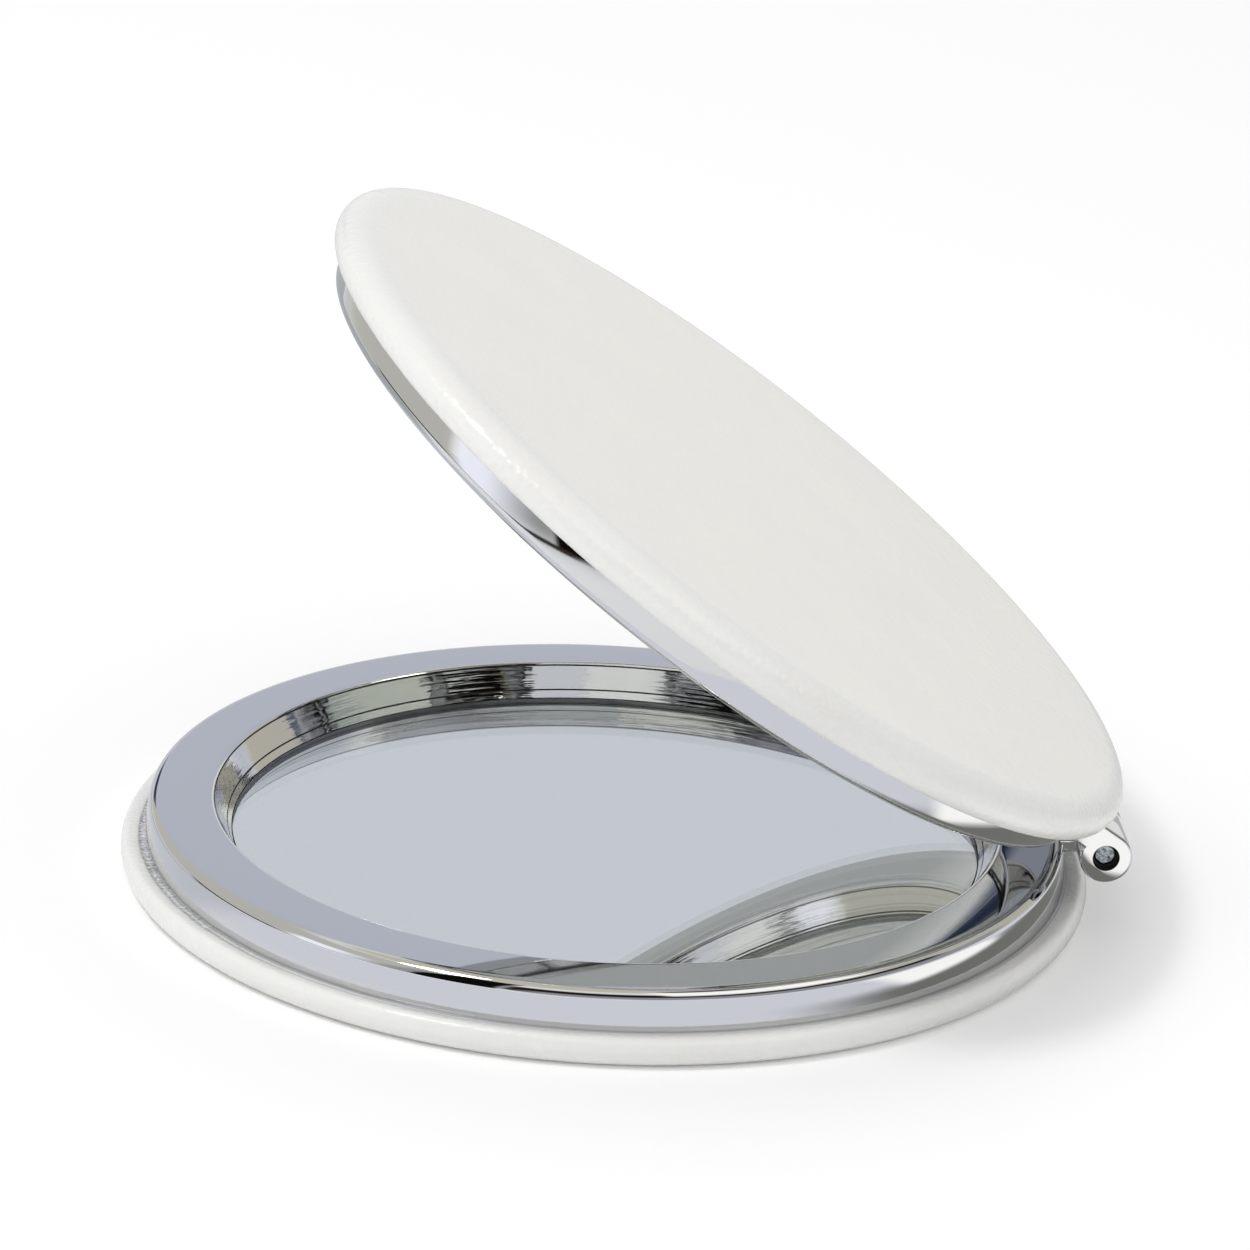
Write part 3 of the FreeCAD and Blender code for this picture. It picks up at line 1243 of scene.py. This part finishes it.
@dataclass(frozen=True)
class SoftBox:
    """A square area lamp that points at the object."""

    name: str
    azimuth: float
    elevation: float
    distance_mm: float
    size_mm: float
    watts: float
    colour: str = "#FFFFFF"

    def build(self) -> Object:
        """Build the lamp, out of the camera's sight.

        Returns:
            The lamp.
        """
        lamp = bpy.data.lights.new(self.name, "AREA")
        lamp.shape = "SQUARE"
        lamp.size = self.size_mm * MM
        lamp.energy = self.watts
        lamp.color = linear(self.colour)[:3]
        away = direction(self.azimuth, self.elevation)
        box = add_object(self.name, lamp)
        box.location = away * self.distance_mm * MM
        box.rotation_mode = "QUATERNION"
        box.rotation_quaternion = away.to_track_quat("Z", "Y")
        box.visible_camera = False
        return box


@dataclass(frozen=True)
class PhotoCamera:
    """The camera, standing where the photograph was taken. The picture is square."""

    sensor_mm: float = 36.0
    lens_mm: float = 230.4
    azimuth: float = -4.793
    elevation: float = 20.925
    roll: float = 3.182
    aim_mm: tuple[float, float, float] = (0.578, 0.0, 19.287)
    distance_mm: float = 573.67

    def build(self) -> Object:
        """Build the camera and make it the scene's own.

        Returns:
            The camera.
        """
        back = direction(self.azimuth, self.elevation)
        right = direction(self.azimuth + 90, 0.0)
        axes = Matrix((right, back.cross(right), back)).transposed()
        lens = bpy.data.cameras.new("photo_camera")
        lens.sensor_width = self.sensor_mm
        lens.lens = self.lens_mm
        camera = add_object("photo_camera", lens)
        rolled = axes @ Matrix.Rotation(math.radians(self.roll), 3, "Z")
        place = Vector(self.aim_mm) + back * self.distance_mm
        camera.matrix_world = Matrix.Translation(place * MM) @ rolled.to_4x4()
        bpy.context.scene.camera = camera
        return camera


@dataclass
class Studio:
    """A white floor and a soft white sky, with lamps, reflector cards and the camera."""

    floor_half_width_mm: float = 4000.0
    floor_colour: str = "#F8F8F8"
    floor_lift: float = 0.10
    sky_level: float = 0.79
    cards: tuple[Card, ...] = (
        Card("back_card", (128, 212), (-1, 56), "#D2D6E2", (6, 8)),
        Card("back_strip_card", (138, 188), (-2, 14), "#FFFEFA", (8, 4), distance_mm=690.0),
        Card("hinge_navy_card", (191, 205), (7, 17), "#38425A", (3, 2), distance_mm=680.0),
        FloorCard("back_floor_card", (95, 265), (42, 690), "#C3C6C8", (10, 12)),
        # Painted shadow: a dark floor card that stands in for the compact's shadow behind the hinge, as
        # the glass and chrome reflect it.
        FloorCard("hinge_shade_card", (112, 205), (35.4, 50), "#6A7284", (30, 5), lift_mm=0.6),
        FloorCard("left_floor_card", (-150, -66), (35.1, 80), "#E0E3EA", (12, 1.5), lift_mm=0.5),
        FloorCard("front_floor_card", (-95, 95), (36, 95), "#F0F1F9", (12, 6), 1.07),
        # Painted shadow: a dark floor card that stands in for the compact's contact shadow beside the
        # base's hinge side, as the chrome wall reflects it.
        FloorCard("right_shade_card", (18, 110), (29, 46), "#85857F", (25, 6), lift_mm=0.6),
        FloorCard("knuckle_floor_card", (42, 70), (40.5, 66), "#FDFCF8", (5, 2), 1.5, lift_mm=0.7),
        Card("right_card", (50, 134), (-1, 50), "#D3CFC0", (6, 6), distance_mm=710.0),
        Card("left_tan_card", (-161, -80), (-1, 58), "#D9D7CE", (6, 8), distance_mm=695.0),
        Card("left_light_card", (-84, -53), (-1, 50), "#F0F1FA", (6, 8), 1.5, 705.0),
        Card("left_grey_card", (-74, -30), (-1, 50), "#B0B0AE", (22, 8), distance_mm=690.0),
        Card("left_high_tan_card", (-95, -52), (23, 58), "#D9D7CE", (6, 6), distance_mm=687.0),
        Card("dark_gap_card", (-50, -27), (1, 58), "#14110F", (2, 1.5), distance_mm=680.0),
        Card("dark_room_card", (-30, 16), (5, 44), "#2A1E16", (5, 5), distance_mm=685.0),
        Card("left_horizon_card", (-122, -84), (0.5, 8), "#221C18", (6, 2), distance_mm=670.0),
        Card("left_line_card", (-92, -40), (1, 3.5), "#3A342E", (5, 1), distance_mm=670.0),
        Card("right_horizon_card", (0, 92), (3, 34), "#2A1E16", (6, 4), distance_mm=670.0),
        Card("front_light_card", (-25, 110), (-1, 25), "#A9ABB1", (8, 9), distance_mm=660.0),
        Card("ceiling_card", (0, 360), (56, 90), "#E2DCC9", (0, 6), distance_mm=720.0),
        Card("warm_softbox_card", (8, 80), (36, 62), "#FFFDF6", (8, 4), 1.5, 695.0),
        Card("ceiling_gap_card", (20, 118), (62, 74), "#3A342C", (8, 4), distance_mm=695.0),
    )
    lamps: tuple[SoftBox, ...] = (
        SoftBox("key_softbox", -64.5, 62.0, 600.0, 120.0, 0.8),
        SoftBox("fill_softbox", -70.0, 28.0, 900.0, 600.0, 0.5),
    )

    def seen_directly(self, add: NodeAdder) -> NodeSocket:
        """Add nodes that tell how a surface is seen.

        Args:
            add: The call that adds a node to the material or the world.

        Returns:
            1 for rays from the camera, metal or glass, and 0 for the rest.
        """
        seen = add("LightPath", output="Is Camera Ray")
        for ray in ("Is Glossy Ray", "Is Transmission Ray"):
            seen = add("Math", {0: seen, 1: add("LightPath", output=ray)}, operation="MAXIMUM")
        return seen

    def build_sky(self) -> None:
        """Set the world: white where it is seen, and a plain level of soft light."""
        world = bpy.data.worlds.new("studio_sky")
        bpy.context.scene.world = world
        world.use_nodes = True
        world.node_tree.nodes.clear()
        add = partial(add_node, world.node_tree)
        seen = self.seen_directly(add)
        level = add("MapRange", {"Value": seen, "To Min": self.sky_level, "To Max": 1.0})
        sky = add("Background", {"Color": WHITE, "Strength": level})
        add("OutputWorld", {"Surface": sky})

    def build_floor(self) -> Object:
        """Build the pale floor, which shows white and keeps the object's shadow.

        Returns:
            The floor.
        """
        half = self.floor_half_width_mm * MM
        mesh = bpy.data.meshes.new("floor")
        corners = [(-half, -half, 0.0), (half, -half, 0.0), (half, half, 0.0), (-half, half, 0.0)]
        mesh.from_pydata(corners, [], [(0, 1, 2, 3)])
        material, add = new_material("white_paper_floor")
        seen = self.seen_directly(add)
        surface = add(
            "BsdfPrincipled",
            {
                "Base Color": linear(self.floor_colour),
                "Roughness": 1.0,
                "Specular IOR Level": 0.0,
                "Emission Color": WHITE,
                "Emission Strength": add("Math", {0: seen, 1: self.floor_lift}, operation="MULTIPLY"),
            },
        )
        add("OutputMaterial", {"Surface": surface})
        mesh.materials.append(material)
        floor = add_object("floor", mesh)
        return floor

    def build(self) -> None:
        """Build the whole studio."""
        self.build_sky()
        self.build_floor()
        for item in (*self.cards, *self.lamps, PhotoCamera()):
            item.build()
        bpy.context.scene.view_settings.view_transform = "Standard"


def main() -> None:
    """Build and dress the compact, piece by piece, and set up the studio."""
    logging.basicConfig(level=logging.INFO, format="%(message)s")
    places = Places.from_frame()
    glass = FloatGlass().materials()
    low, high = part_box("base_cover")
    radius = (high.x - low.x) / 2 / MM
    low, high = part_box("base_mirror")
    glass_radius = (high.x - low.x) / 2 / MM
    glass_bottom = low.z / MM
    glass_thickness = (high.z - low.z) / MM
    low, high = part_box("hinge_pin")
    pin = HingePin((high.y - low.y) / MM)
    pad_materials = [Leatherette(radius).material(), SeamGlue().material()]
    pads = (
        Pad(Half.BASE, radius, swell=0.12),
        Pad(Half.LID, radius, swell=0.7, shoulder_run=2.4, shoulder_drop=1.7, crown=0.15),
    )
    for pad in pads:
        LOG.info("built %s", pad.build(places, pad_materials).name)
    frames = (ChromeFrame(Half.BASE, ledge_drop=0.47), ChromeFrame(Half.LID, ledge_drop=0.1))
    bore_radius = frames[0].wall_radius - frames[0].ring_width
    # The second frame material paints shade in the bores and at the bevel's foot, and a dark reflection
    # along the lip.
    frame_materials = [ChromePlate(bore_radius).material(), BARE_ZINC.material()]
    for chrome_frame in frames:
        LOG.info("built %s", chrome_frame.build(places, frame_materials).name)
    mirrors = (
        Mirror(Half.BASE, glass_radius, glass_bottom, glass_thickness),
        Mirror(Half.LID, glass_radius, glass_bottom, thickness=0.75, dish_radius=600.0),
    )
    for mirror in mirrors:
        LOG.info("built %s", mirror.build(places, glass).name)
    LOG.info("built %s", pin.build(places, ZINC_WIRE.material()).name)
    tapes = tuple(f"{half.value}_{kind}_tape" for half in Half for kind in ("cover", "mirror"))
    magnets = tuple(f"{half.value}_magnet" for half in Half)
    for carried in (CarriedNodes(tapes, ADHESIVE_TAPE), CarriedNodes(magnets, MAGNET_NICKEL)):
        carried.dress()
        LOG.info("dressed %s", ", ".join(carried.names))
    Studio().build()


if __name__ == "__main__":
    main()
